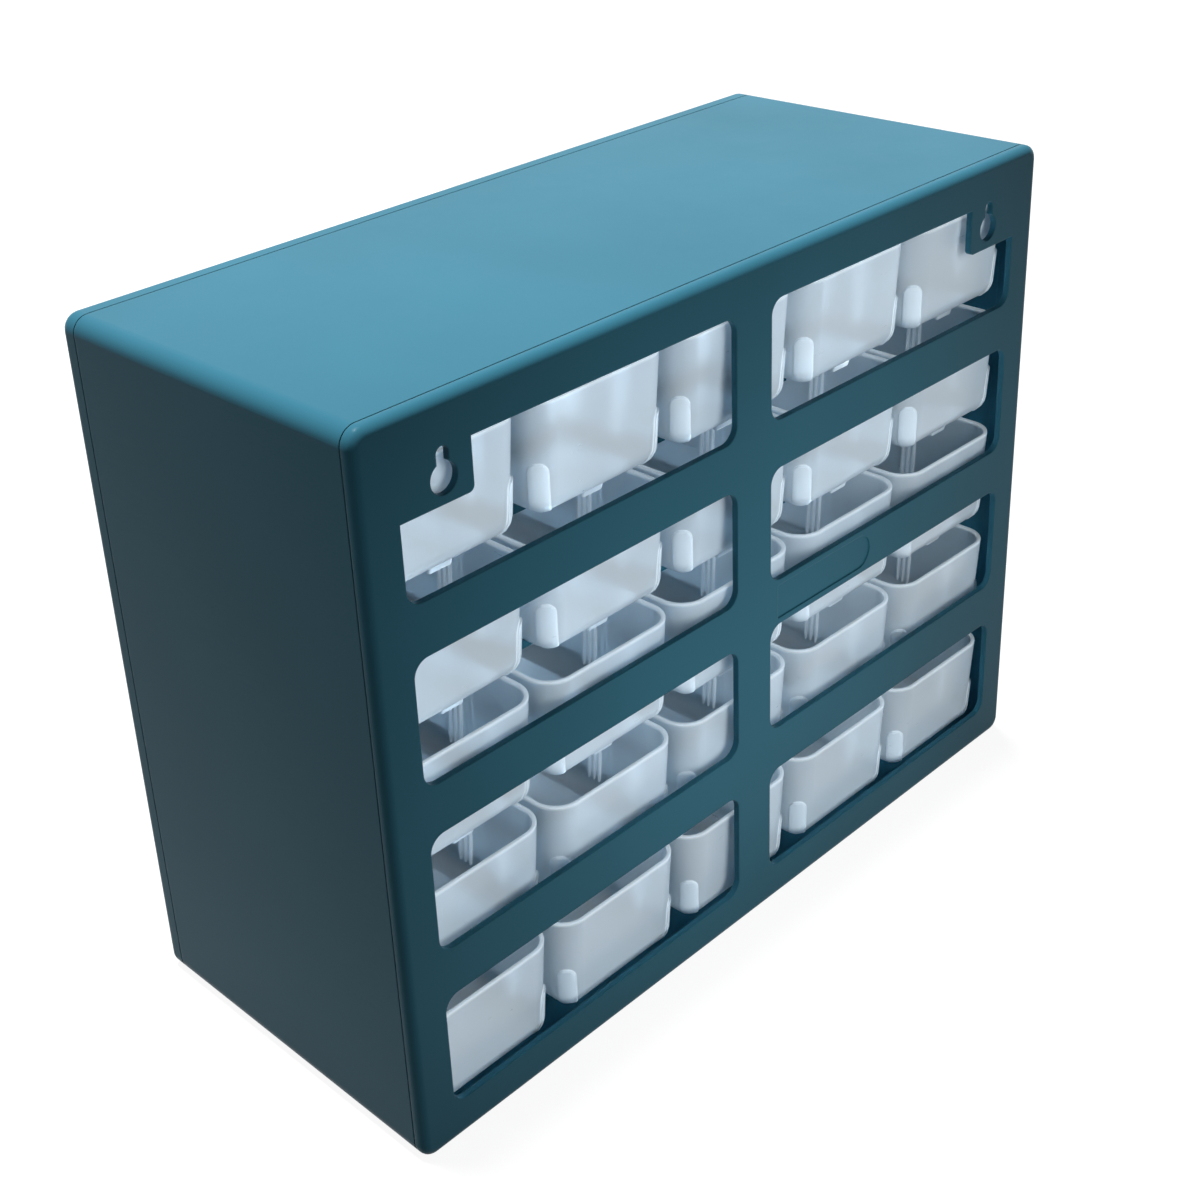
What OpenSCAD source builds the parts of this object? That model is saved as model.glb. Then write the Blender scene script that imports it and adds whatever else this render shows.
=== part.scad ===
// Small parts cabinet: a moulded casing with a windowed back, hung on two keyholes,
// that holds a grid of open-topped translucent drawers on cradle rails.
// X runs along the width, Y from the drawer fronts (-Y) to the back (+Y), Z up.

/* [Grid] */
// Number of drawers side by side
columns = 5; // [2:1:5]
// Number of drawers one above another
rows = 5; // [2:1:5]
// Gap between two neighbouring drawer rims
drawer_gap_x = 3; // [2.5:0.5:8]
// Open height above a drawer's rim, up to the floor of the drawer over it
drawer_gap_z = 8.2; // [7.5:0.1:14]

/* [Drawer] */
// Width over the rim
drawer_w = 59; // [50:1:80]
// Length of the tub, from the back of its front panel to its rear rim
drawer_l = 124; // [90:1:180]
// Height of the tub
drawer_h = 38.5; // [30:0.5:60]
// Thickness of the walls and the floor
drawer_t = 1.4; // [1:0.1:2]
// How far each wall leans in from the rim to the floor
draft = 2.5; // [1.5:0.1:3]
// Radius of the upright rear corners at the rim
tub_corner_r = 10; // [9.5:0.1:14]
// Radius of the rounded lower edges
floor_r = 7; // [3:0.1:7]

/* [Drawer front] */
// Thickness of the front panel
front_t = 2; // [1.5:0.1:3]
// Overlap of the front panel past the rim at each side
front_side = 1; // [0.8:0.1:1.1]
// Height of the front panel above the rim
front_rise = 4; // [3:0.1:5]
// How far the front panel hangs below the floor
front_drop = 2; // [0.5:0.1:2.5]
// How far the finger pull stands out
pull_out = 6; // [4:0.1:6.5]
// Radius of the finger pull's curved edge
pull_r = 20; // [14:0.5:24]
// Depth of the pull's turned-down lip
pull_lip = 5; // [3:0.1:8]

/* [Divider slots and stop] */
// Number of slot stations along each side wall
slot_stations = 2; // [1:1:3]
// Distance from the rear rim to the first slot station
slot_from_rear = 38; // [25:1:45]
// Distance between slot stations
slot_pitch = 38; // [20:1:45]
// Width of a slot rib
rib_w = 1.1; // [0.8:0.1:1.6]
// Width of the slot between two ribs
slot_w = 1.3; // [1:0.1:2.5]
// How far a slot rib stands out from the wall
rib_out = 1.3; // [0.8:0.1:2]
// Distance from the rim down to the slot ribs' upper ends
rib_low = 1.6; // [0.5:0.1:4]
// Height of the slot ribs' lower ends above the drawer's underside
rib_z = 5; // [5:0.1:12]
// Width of the stop nub under the floor
nub_w = 9; // [5:0.5:14]
// Height of the stop nub
nub_h = 2.2; // [1:0.1:2.6]
// Distance from the rear rim to the stop nub
nub_from_rear = 9; // [9:0.5:14]
// Width of the round-topped guide pads on the lower rear corners
pad_w = 6.7; // [5:0.1:9]
// Height of the guide pads
pad_h = 18.5; // [10:0.5:24]
// How far the guide pads stand out
pad_out = 0.8; // [0.4:0.1:1]

/* [Casing] */
// Wall of the outer sleeve
shell_t = 2.6; // [2:0.1:3.5]
// Radius of the casing's long corners
corner_r = 5.5; // [5:0.1:8]
// Rounding of the outer edges of the bezel and the back
edge_r = 3; // [1.5:0.1:3.5]
// Width of the seam groove where the bezel and the back meet the sleeve
seam_w = 0.35; // [0.2:0.05:0.6]
// Depth of the seam groove
seam_d = 0.6; // [0.3:0.05:1]
// Width of the casing outside the outer drawers' half gaps, at each side
side_margin = 5.5; // [5:0.1:12]
// Height of the lowest drawer's underside above the base
bottom_margin = 6.5; // [6:0.1:14]
// Height of the casing above the top row's pitch
top_margin = 10; // [4:0.1:16]
// How far the drawer fronts stand behind the bezel's front edge
front_recess = 7; // [7:0.1:12]
// Depth of the bezel's outer rim, up to its seam with the sleeve
bezel_d = 7.5; // [7:0.1:12]
// Gap between the bezel's opening and the drawer fronts
bezel_gap = 1.2; // [0.8:0.1:2]
// Thickness of the grid behind the drawer fronts
grid_t = 3.7; // [2:0.1:6]
// Clearance of a drawer's rim in the grid at each side
cell_gap = 0.4; // [0.3:0.1:0.7]
// Depth of the fitting rings of the bezel and the back inside the sleeve
spigot_d = 6; // [4:0.1:10]
// Thickness of the fitting rings
spigot_t = 2; // [1.5:0.1:2.5]

/* [Cradle rails] */
// Depth of a rail rack's cross bar, front to back
bar_d = 5; // [3:0.1:8]
// Height of the cross bar
bar_h = 3.4; // [2.5:0.1:3.5]
// Height of the rails above the drawers' underside
rail_rise = 3; // [2:0.1:6.5]
// Distance from the drawers' rear rims forward to the rails' rear ends
rail_short = 15; // [10:0.5:30]
// Thickness of the rails below the drawers' underside
rail_t = 1.3; // [1:0.1:2]
// Width of the web under a rail
web_t = 3; // [2:0.1:6]
// Width of the sleeve's ledges under the outer rails
ledge_w = 3; // [2:0.1:5]
// Thickness of the ledges
ledge_t = 2; // [1.5:0.1:3]

/* [Back] */
// Thickness of the back
back_t = 2.2; // [1.8:0.1:3]
// Depth of the back's rim, up to its seam with the sleeve
back_rim = 4.5; // [4:0.1:8]
// Gap between the drawers' rear rims and the back
rear_gap = 2.8; // [2:0.1:10]
// Number of windows side by side
window_columns = 2; // [1:1:3]
// Number of windows one above another
window_rows = 4; // [2:1:5]
// Width of the back's side bars
side_bar = 13.8; // [10:0.1:24]
// Height of the back's top bar
top_bar = 15; // [12:0.1:24]
// Height of the back's bottom bar
bottom_bar = 14.6; // [12:0.1:24]
// Width of the upright post between the windows
post = 17.2; // [10:0.1:30]
// Height of the bars between the windows
cross_bar = 17.2; // [14:0.1:24]
// Corner radius of the windows
window_r = 5.5; // [3:0.1:8]
// Width of the screw tabs in the top windows' outer corners
tab_w = 27; // [20:0.5:34]
// Height of the screw tabs
tab_h = 16.5; // [15:0.1:20]
// Radius of a keyhole's head circle
key_r = 4.9; // [4:0.1:6]
// Width of a keyhole's slot
key_slot = 4.5; // [3.5:0.1:6]
// Height from the head circle's centre to the slot's round end
key_rise = 7.3; // [6:0.1:9]
// Distance from a keyhole's centre line to the tab's inner edge
key_in = 10.6; // [8:0.1:16]
// Distance from the top of the casing down to the head circles' centre
key_down = 23.8; // [21:0.1:25]
// Length of the bare name recess
recess_w = 52; // [30:1:80]
// Height of the bare name recess
recess_h = 12.8; // [8:0.1:13.5]
// Depth of the bare name recess
recess_d = 0.5; // [0.3:0.1:0.8]
// Distance from the middle post to the name recess
recess_in = 4; // [2:0.1:20]

/* [Fits] */
// Running clearance between a drawer and what carries or faces it
run_gap = 0.3; // [0.2:0.05:0.4]
// Clearance of the fitted rings and rail racks inside the sleeve
fit_gap = 0.15; // [0.1:0.05:0.25]

/* [Hidden] */
$fn = 48;

// Overall size and the drawer grid
pitch_x = drawer_w + drawer_gap_x;
pitch_z = drawer_h + drawer_gap_z;
cabinet_w = columns * pitch_x + 2 * side_margin;
cabinet_h = bottom_margin + rows * pitch_z + top_margin;
cabinet_d = front_recess + front_t + drawer_l + rear_gap + back_t;
function drawer_x(c) = ((columns + 1) / 2 - c) * pitch_x;
function drawer_z(r) = bottom_margin + (rows - r) * pitch_z;

// How far a rounded edge bites into the flats beside it, so that they fuse
weld = 0.002;

// Places along Y, from the front to the back
y_front = -cabinet_d / 2;
y_bezel_seam = y_front + bezel_d;
y_face = y_front + front_recess;
y_tub = y_face + front_t;
y_root = y_tub - front_t / 2;
y_grid = y_tub + run_gap;
y_bar = y_grid + grid_t;
y_bar_rear = y_bar + bar_d;
y_rim_rear = y_tub + drawer_l;
y_back_seam = cabinet_d / 2 - back_rim;
y_rail_end = y_rim_rear - rail_short;

// The sleeve's inner walls, and what fits inside them
inner_w = cabinet_w - 2 * shell_t;
inner_h = cabinet_h - 2 * shell_t;
inner_r = corner_r - shell_t;
plug_w = inner_w - 2 * fit_gap;
plug_h = inner_h - 2 * fit_gap;
plug_r = inner_r - fit_gap;

// The drawer's cross section: x is measured from the spine, a line that runs
// inside the wall all round, and y from the underside
lean = atan(draft / drawer_h);
spine_x = drawer_w / 2 - tub_corner_r;
spine_y = y_rim_rear - tub_corner_r;
front_w = drawer_w + 2 * front_side;
front_h = front_drop + drawer_h + front_rise;
cell_w = drawer_w + 2 * cell_gap;

// Windows of the back
window_w = (cabinet_w - 2 * side_bar - (window_columns - 1) * post) / window_columns;
window_h = (cabinet_h - top_bar - bottom_bar - (window_rows - 1) * cross_bar) / window_rows;

teal = [0.13, 0.33, 0.39];
milky = [0.80, 0.88, 0.93, 0.75];

// ---------------------------------------------------------------- helpers

// Rectangle with round corners, centred
module round_rect(w, h, r) {
    square([w - 2 * r, h], center = true);
    square([w, h - 2 * r], center = true);
    for (x = [-1, 1], y = [-1, 1])
        translate([x * (w / 2 - r), y * (h / 2 - r)]) circle(r);
}

// Half cross section of a tub from x = 0 to its leaning wall: foot is the wall's x
// at height z0 and r the radius of the lower edge
module tub_section(foot, z0, z1, r) {
    cx = foot + r * tan(lean) - r / cos(lean);
    polygon([
        [0, z0], [cx, z0], [cx + r * cos(lean), z0 + r * (1 - sin(lean))],
        [foot + (z1 - z0) * tan(lean), z1], [0, z1]
    ]);
    intersection() {
        translate([cx, z0 + r]) circle(r + weld);
        translate([0, z0 - 1]) square([foot + r, r + 1]);
    }
}

// x of the tub's outer wall at height z
function wall_x(z) = tub_corner_r - (drawer_h - z) * tan(lean);

// Sweeps a section round the tub's two sides, rear and rear corners
module sweep_tub() {
    for (side = [0, 1]) mirror([side, 0, 0]) translate([spine_x, spine_y, 0]) {
        rotate([90, 0, 0]) linear_extrude(spine_y - y_root) children();
        rotate_extrude(angle = 90) children();
    }
    translate([-spine_x, spine_y, 0])
        rotate([90, 0, 90]) linear_extrude(2 * spine_x) children();
}

// Sweeps a section all round a rectangle with round corners: x runs outward from
// a line r inside the edge, and y along the depth
module sweep_rim(w, h, r) {
    for (i = [0:3]) {
        along = i % 2 == 0 ? h : w;
        across = i % 2 == 0 ? w : h;
        rotate(90 * i) translate([across / 2 - r, along / 2 - r, 0]) {
            rotate([90, 0, 0]) linear_extrude(along - 2 * r) children();
            rotate_extrude(angle = 90) children();
        }
    }
}

// Quarter-round rim section, depth d and radius of the outer edge e, with a seam
// groove where it meets the sleeve
module rim_section(width, d, e) {
    difference() {
        square([width, d]);
        translate([width - e, d - e]) difference() {
            square(e + 1);
            circle(e);
        }
        translate([width - seam_d, -1]) square([seam_d + 1, 1 + seam_w]);
    }
}

// Stands a plan drawn in X and Z (as x and y) upright at depth y, so that it is
// extruded by t towards +Y
module upright(y, t) {
    translate([0, y + t, 0]) rotate([90, 0, 0]) linear_extrude(t) children();
}

// ---------------------------------------------------------------- casing

module outer_sleeve() {
    color(teal) {
        upright(y_bezel_seam, y_back_seam - y_bezel_seam)
            translate([0, cabinet_h / 2]) difference() {
                round_rect(cabinet_w, cabinet_h, corner_r);
                round_rect(inner_w, inner_h, inner_r);
            }
        // Ledges that carry the rail racks' outer rails
        upright(y_bar, y_rail_end - y_bar)
            for (r = [1:rows - 1], side = [0, 1]) mirror([side, 0])
                translate([inner_w / 2 - ledge_w, drawer_z(r) - run_gap - bar_h - ledge_t])
                    square([ledge_w + shell_t / 2, ledge_t]);
    }
}

module front_frame() {
    bezel_w = columns * pitch_x - drawer_gap_x + 2 * front_side + 2 * bezel_gap;
    bezel_z0 = bottom_margin - front_drop - bezel_gap;
    bezel_z1 = drawer_z(1) + drawer_h + front_rise + bezel_gap;
    cell_z0 = bottom_margin - run_gap;
    cell_z1 = drawer_z(1) + drawer_h + front_rise - run_gap;
    color(teal) {
        // Bezel: the rim in front of the sleeve, round the drawer fronts
        difference() {
            translate([0, y_bezel_seam, cabinet_h / 2]) rotate([90, 0, 0]) {
                sweep_rim(cabinet_w, cabinet_h, corner_r)
                    rim_section(corner_r, bezel_d, edge_r);
                linear_extrude(bezel_d)
                    square([cabinet_w - 2 * corner_r, cabinet_h - 2 * corner_r], center = true);
            }
            upright(y_front - 1, bezel_d + 2)
                translate([-bezel_w / 2, bezel_z0]) square([bezel_w, bezel_z1 - bezel_z0]);
        }
        // Fitting ring that joins the bezel to the grid inside the sleeve
        upright(y_bezel_seam, y_bar - y_bezel_seam)
            translate([0, cabinet_h / 2]) difference() {
                round_rect(plug_w, plug_h, plug_r);
                translate([-bezel_w / 2, bezel_z0 - cabinet_h / 2])
                    square([bezel_w, bezel_z1 - bezel_z0]);
            }
        // Grid: uprights between the drawer columns
        upright(y_grid, grid_t) difference() {
            translate([0, cabinet_h / 2]) round_rect(plug_w, plug_h, plug_r);
            for (c = [1:columns])
                translate([drawer_x(c) - cell_w / 2, cell_z0])
                    square([cell_w, cell_z1 - cell_z0]);
        }
    }
}

// Section of a rail between two drawer columns: a saddle whose hollow flanks
// cradle the drawers' rounded lower edges
module rail_section() {
    hollow_r = floor_r + run_gap;
    foot = wall_x(0);
    hollow_x = pitch_x / 2 - spine_x - (foot + floor_r * tan(lean) - floor_r / cos(lean));
    difference() {
        translate([-hollow_x, -rail_t - run_gap])
            square([2 * hollow_x, rail_rise + rail_t + run_gap]);
        for (x = [-1, 1]) translate([x * hollow_x, floor_r]) circle(hollow_r);
    }
    translate([-web_t / 2, -run_gap - bar_h]) square([web_t, bar_h]);
}

// What fits inside the sleeve, seen from row r
module plug_plan(r) {
    translate([0, cabinet_h / 2 - drawer_z(r)]) round_rect(plug_w, plug_h, plug_r);
}

module rail_rack(r) {
    color(teal) translate([0, 0, drawer_z(r)]) {
        // Cross bar behind the grid, under the drawers
        upright(y_bar, bar_d) intersection() {
            translate([-inner_w / 2, -run_gap - bar_h]) square([inner_w, bar_h]);
            plug_plan(r);
        }
        // Rails between the columns, and outer rails along the sleeve's walls
        upright(y_bar, y_rail_end - y_bar) {
            for (c = [1:columns - 1]) translate([drawer_x(c) - pitch_x / 2, 0]) rail_section();
            for (side = [0, 1]) mirror([side, 0]) intersection() {
                union() {
                    translate([drawer_x(1) + pitch_x / 2, 0]) rail_section();
                    translate([plug_w / 2 - ledge_w, -run_gap - bar_h])
                        square([2 * ledge_w, bar_h + rail_rise / 2]);
                }
                plug_plan(r);
            }
        }
    }
}

// ---------------------------------------------------------------- back

module window_plan(top_row) {
    difference() {
        round_rect(window_w, window_h, window_r);
        // Screw tab in the outer upper corner
        if (top_row) translate([window_w / 2 - tab_w, window_h / 2 - tab_h])
            round_tab();
    }
}

module round_tab() {
    r = 2;
    difference() {
        square([2 * tab_w, 2 * tab_h]);
        difference() {
            square(r);
            translate([r, r]) circle(r);
        }
    }
}

module keyhole_plan() {
    circle(key_r);
    translate([0, key_rise / 2]) square([key_slot, key_rise], center = true);
    translate([0, key_rise]) circle(key_slot / 2);
}

// Plan of the back seen from behind, so that x here is -X
module back_plan() {
    difference() {
        square([cabinet_w - 2 * corner_r, cabinet_h - 2 * corner_r], center = true);
        for (i = [1:window_columns], j = [1:window_rows]) {
            x = (i - (window_columns + 1) / 2) * (window_w + post);
            z = cabinet_h / 2 - top_bar - window_h / 2 - (j - 1) * (window_h + cross_bar);
            translate([x, z]) mirror([x < 0 ? 1 : 0, 0])
                window_plan(j == 1 && (i == 1 || i == window_columns));
        }
        for (side = [0, 1]) mirror([side, 0])
            translate([cabinet_w / 2 - side_bar - tab_w + key_in, cabinet_h / 2 - key_down])
                keyhole_plan();
    }
}

module back_panel() {
    color(teal) translate([0, y_back_seam, cabinet_h / 2]) rotate([90, 0, 180]) difference() {
        union() {
            sweep_rim(cabinet_w, cabinet_h, corner_r) {
                difference() {
                    rim_section(corner_r, back_rim, edge_r);
                    square([inner_r, back_rim - back_t]);
                }
            }
            // Fitting ring inside the sleeve
            translate([0, 0, -spigot_d]) linear_extrude(spigot_d + back_rim - back_t / 2)
                difference() {
                    round_rect(plug_w, plug_h, plug_r);
                    square([plug_w - 2 * spigot_t, plug_h - 2 * spigot_t], center = true);
                }
            translate([0, 0, back_rim - back_t]) linear_extrude(back_t) back_plan();
        }
        // Bare recess for a name on the bar under the second row of windows
        translate([
            post / 2 + recess_in,
            cabinet_h / 2 - top_bar - 2 * window_h - 1.5 * cross_bar,
            back_rim - recess_d
        ]) linear_extrude(recess_d + 1) recess_plan();
    }
}

module recess_plan() {
    r = recess_h / 2;
    translate([0, -r]) square([recess_w - r, recess_h]);
    translate([recess_w - r, 0]) circle(r);
}

// ---------------------------------------------------------------- drawers

module tub_wall_section() {
    difference() {
        tub_section(wall_x(0), 0, drawer_h, floor_r);
        tub_section(
            wall_x(drawer_t) - drawer_t / cos(lean), drawer_t, drawer_h + 1, floor_r - drawer_t
        );
    }
}

// Slot rib in the tub's section: it hugs the inner wall and ends in a prong
module rib_section() {
    inner = drawer_t / cos(lean);
    top = drawer_h - rib_low;
    prong = 4;
    polygon([
        [wall_x(rib_z) - inner / 2, rib_z],
        [wall_x(rib_z) - inner - rib_out / 3, rib_z],
        [wall_x(rib_z + prong) - inner - rib_out, rib_z + prong],
        [wall_x(top) - inner - rib_out, top],
        [wall_x(top) - inner / 2, top]
    ]);
}

module slot_ribs() {
    for (s = [0:slot_stations - 1], k = [-1:1], side = [0, 1]) mirror([side, 0, 0])
        translate([spine_x, 0, 0])
            upright(y_rim_rear - slot_from_rear - s * slot_pitch + k * (rib_w + slot_w) - rib_w / 2,
                rib_w) rib_section();
}

// Round-topped pad on a lower rear corner, that centres the tub between its rails
module guide_pad() {
    translate([spine_x, spine_y, 0]) intersection() {
        rotate_extrude(angle = 90) difference() {
            tub_section(wall_x(0) + pad_out, 0, pad_h + 1, floor_r);
            tub_section(wall_x(0) - drawer_t / 2, -1, pad_h + 2, floor_r);
        }
        rotate([90, 0, 135]) linear_extrude(3 * tub_corner_r, center = true) {
            translate([-pad_w / 2, drawer_t / 2]) square([pad_w, pad_h - pad_w / 2 - drawer_t / 2]);
            translate([0, pad_h - pad_w / 2]) circle(pad_w / 2);
        }
        // No wider than the side walls, so that it slides between the rails
        rotate([90, 0, 0]) linear_extrude(3 * tub_corner_r, center = true)
            tub_section(wall_x(0) - fit_gap / 3, 0, pad_h + 2, floor_r);
    }
}

// Stop nub under the floor: its upright front face meets the cross bar
module stop_nub() {
    y = y_rim_rear - nub_from_rear;
    translate([-nub_w / 2, 0, 0]) rotate([90, 0, 90]) linear_extrude(nub_w)
        polygon([[y, drawer_t / 2], [y, -nub_h], [y + nub_h / 2, -nub_h], [y + nub_h, drawer_t / 2]]);
}

module front_panel() {
    upright(y_face, front_t)
        translate([0, front_h / 2 - front_drop]) round_rect(front_w, front_h, 2);
    // Gussets from the rim up to the panel
    gusset = front_rise / 2;
    for (side = [0, 1]) mirror([side, 0, 0])
        translate([drawer_w / 2 - 0.9 * drawer_t, y_tub, drawer_h - drawer_t / 2])
            rotate([90, 0, 90]) linear_extrude(0.75 * drawer_t) difference() {
                square([3 * gusset, drawer_t / 2 + gusset]);
                translate([3 * gusset, drawer_t / 2 + 3 * gusset]) circle(3 * gusset);
            }
}

// Finger pull: a curved shelf with a turned-down lip, cut from a ring
module finger_pull() {
    intersection() {
        translate([0, y_face - pull_out + pull_r, front_h / 2]) rotate_extrude() {
            translate([pull_r / 2, 0]) square([pull_r / 2 - drawer_t / 2, drawer_t]);
            translate([pull_r - drawer_t, -pull_lip]) square([drawer_t, pull_lip + drawer_t / 2]);
            translate([pull_r - drawer_t / 2, drawer_t / 2]) circle(drawer_t / 2);
        }
        translate([-pull_r, y_face - pull_out - 1, 0])
            cube([2 * pull_r, pull_out + 1 + front_t / 2, front_h]);
    }
}

module drawer(r, c) {
    color(milky) translate([drawer_x(c), 0, drawer_z(r)]) {
        sweep_tub() tub_wall_section();
        translate([-spine_x, y_root, 0]) cube([2 * spine_x, spine_y - y_root, drawer_t]);
        slot_ribs();
        for (side = [0, 1]) mirror([side, 0, 0]) guide_pad();
        stop_nub();
        front_panel();
        finger_pull();
    }
}

outer_sleeve();
front_frame();
back_panel();
for (r = [1:rows]) {
    rail_rack(r);
    for (c = [1:columns])
        drawer(r, c);
}
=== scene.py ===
"""Small parts cabinet: moulded casing, windowed back and translucent drawers."""

import math

import bpy
import bmesh
import numpy as np
from bpy.props import FloatProperty, FloatVectorProperty, PointerProperty
from bpy.types import Operator, Panel, PropertyGroup
from mathutils import Matrix, Vector


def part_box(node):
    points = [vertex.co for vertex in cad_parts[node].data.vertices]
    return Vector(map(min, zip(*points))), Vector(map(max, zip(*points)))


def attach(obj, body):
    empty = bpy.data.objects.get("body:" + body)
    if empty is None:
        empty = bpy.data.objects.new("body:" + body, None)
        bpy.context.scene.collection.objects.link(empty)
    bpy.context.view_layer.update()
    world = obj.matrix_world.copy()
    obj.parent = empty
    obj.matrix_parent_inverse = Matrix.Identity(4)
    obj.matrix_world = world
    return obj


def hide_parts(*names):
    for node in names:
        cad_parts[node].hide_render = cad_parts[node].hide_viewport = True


bl_info = {
    "name": "Small Parts Cabinet",
    "version": (1, 0, 0),
    "blender": (4, 5, 0),
    "location": "View3D > Sidebar > Parts Cabinet",
    "description": "Dresses a small parts cabinet with drawers, finishes and a studio stage",
    "category": "Object",
}

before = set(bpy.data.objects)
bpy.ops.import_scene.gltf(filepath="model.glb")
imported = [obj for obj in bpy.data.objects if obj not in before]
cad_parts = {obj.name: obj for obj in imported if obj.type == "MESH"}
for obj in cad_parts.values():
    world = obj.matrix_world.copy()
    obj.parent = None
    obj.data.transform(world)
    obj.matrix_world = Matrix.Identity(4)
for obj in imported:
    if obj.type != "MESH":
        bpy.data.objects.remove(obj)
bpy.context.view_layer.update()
MM = 0.001
DRAWER_SET, CASING_SET = "Drawer set", "Casing set"

DRAWERS = sorted(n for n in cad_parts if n.startswith("drawer_"))
CASING = [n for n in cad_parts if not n.startswith("drawer_")]

# Sizes in millimetres that follow the CAD drawer and have no setting
FRONT_SIDE, FRONT_DROP, FRONT_RISE, FRONT_CORNER = 1.0, 2.0, 4.0, 2.2
NUB_WIDTH, NUB_DEPTH, NUB_Y = 9.0, 2.2, -9.0
PULL_OUT, PULL_LIP, PULL_RAISED = 6.0, 5.0, 1.0
PAD_WIDTH, PAD_HEIGHT, PAD_OUT, PAD_CLEAR = 6.7, 18.5, 0.8, 0.1
RIB_WIDTH, RIB_REACH, RIB_LOW, RIB_TOP_GAP = 1.1, 1.3, 5.0, 1.6
RIB_STATIONS, RIB_PITCH = (-38.0, -76.0), 2.4
GUSSET_SIZE = 2.0

# Looks that have no setting
# The rail racks take the casing plastic darkened by a share: painted shade for the parts inside the casing
CASING_IOR, RACK_PAINTED_SHADE, RACK_ROUGHER = 1.12, 0.8, 0.1
DRAWER_IOR, DRAWER_GRAIN, DRAWER_EDGE_RADIUS = 1.35, 0.012, 0.5 * MM
# Whiter colour of the drawers' edges (a painted highlight), tint of the painted glow, and the glow's share
# on edges
DRAWER_EDGE_HIGHLIGHT, GLOW_TINT, EDGE_GLOW = (0.93, 0.97, 1.0), (0.82, 0.93, 1, 1), 0.2
SHARP_ANGLE = math.radians(38)

# Stage: each soft lamp's name, place, target, size and power setting, in the order in which they are made
REAR_LAMP, DRAWER_LAMP = "Rear lamp", "Drawer lamp"
LAMPS = (
    (REAR_LAMP, (0.0, 0.27, 0.12), (0.0, 0.069, 0.12), (0.12, 0.12), "rear_power"),
    (DRAWER_LAMP, (0.1, 0.8, 0.45), (0, 0.07, 0.12), (0.5, 0.5), "drawer_power"),
    ("Front lamp", (-0.3, -0.8, 0.1), (0, -0.07, 0.12), (0.8, 0.4), "front_power"),
    ("Side lamp", (1.0, 0.0, 0.3), (0, 0, 0.12), (0.6, 0.6), "side_power"),
)
SUN_SPREAD, SUN_TILT = math.radians(10), math.radians(7)
FLOOR_HALF, FLOOR_DROP, FLOOR_ROUGHNESS, PAPER_GAIN = 6.0, 0.0002, 0.9, 1.6
AMBIENT_TINT = (0.93, 0.97, 1.0, 1)
BOUNCES, CLEAR_BOUNCES = 24, 32


# ------------------------------------------------------------------ settings


class DrawerSizes(PropertyGroup):
    """Sizes of one drawer, in metres, as the CAD drawer has them"""

    width: FloatProperty(name="Width", description="Width over the rim", default=59 * MM, unit="LENGTH")
    length: FloatProperty(name="Length", description="Tub length behind the front panel",
                          default=124 * MM, unit="LENGTH")
    height: FloatProperty(name="Height", description="Height of the tub", default=38.5 * MM, unit="LENGTH")
    wall: FloatProperty(name="Wall", description="Wall and floor thickness", default=1.4 * MM, unit="LENGTH")
    draft: FloatProperty(name="Draft", description="How far a wall leans in from rim to floor",
                         default=2.5 * MM, unit="LENGTH")
    corner: FloatProperty(name="Corner", description="Radius of the rear corners at the rim",
                          default=10 * MM, unit="LENGTH")
    floor_round: FloatProperty(name="Floor round", description="Radius of the lower edges",
                               default=7 * MM, unit="LENGTH")
    rim_round: FloatProperty(name="Rim round", description="Rounding of the rim's two edges",
                             default=0.45 * MM, unit="LENGTH")
    front: FloatProperty(name="Front", description="Thickness of the front panel", default=2 * MM,
                         unit="LENGTH")
    pull_radius: FloatProperty(name="Pull radius", description="Radius of the finger pull's curved edge",
                               default=20 * MM, unit="LENGTH")
    plastic: FloatVectorProperty(name="Plastic", description="Colour of the translucent plastic",
                                 default=(0.74, 0.85, 0.93), subtype="COLOR", min=0, max=1)
    frost: FloatProperty(name="Frost", description="Roughness of the translucent plastic",
                         default=0.29, min=0, max=1, subtype="FACTOR")
    clarity: FloatProperty(name="Clarity", description="Share of light that the plastic lets through",
                           default=0.8, min=0, max=1, subtype="FACTOR")
    lamp_share: FloatProperty(name="Lamp share",
                              description="Share of a lamp's light that one surface passes",
                              default=0.6, min=0, max=1, subtype="FACTOR")
    # The rim glow is emission: a painted glow on the rims and, weaker, on the edges
    rim_glow: FloatProperty(name="Rim glow", description="Light that the walls pipe up to the rim",
                            default=0.22, min=0, max=1, subtype="FACTOR")


class CasingFinish(PropertyGroup):
    """Colour and surface of the moulded casing"""

    plastic: FloatVectorProperty(name="Plastic", description="Colour of the casing's plastic",
                                 default=(0.035, 0.155, 0.222), subtype="COLOR", min=0, max=1)
    # The edge colour is lighter than the plastic: a painted highlight along the casing's edges
    edge: FloatVectorProperty(name="Edge", description="Colour of the rubbed edges",
                              default=(0.048, 0.215, 0.285), subtype="COLOR", min=0, max=1)
    gloss: FloatProperty(name="Gloss roughness", description="Roughness of the moulded surface",
                         default=0.30, min=0, max=1, subtype="FACTOR")
    edge_radius: FloatProperty(name="Edge radius", description="Width of the softened edges",
                               default=0.7 * MM, unit="LENGTH")
    grain: FloatProperty(name="Grain", description="Depth of the moulded grain", default=0.02,
                         min=0, max=1, subtype="FACTOR")


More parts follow.
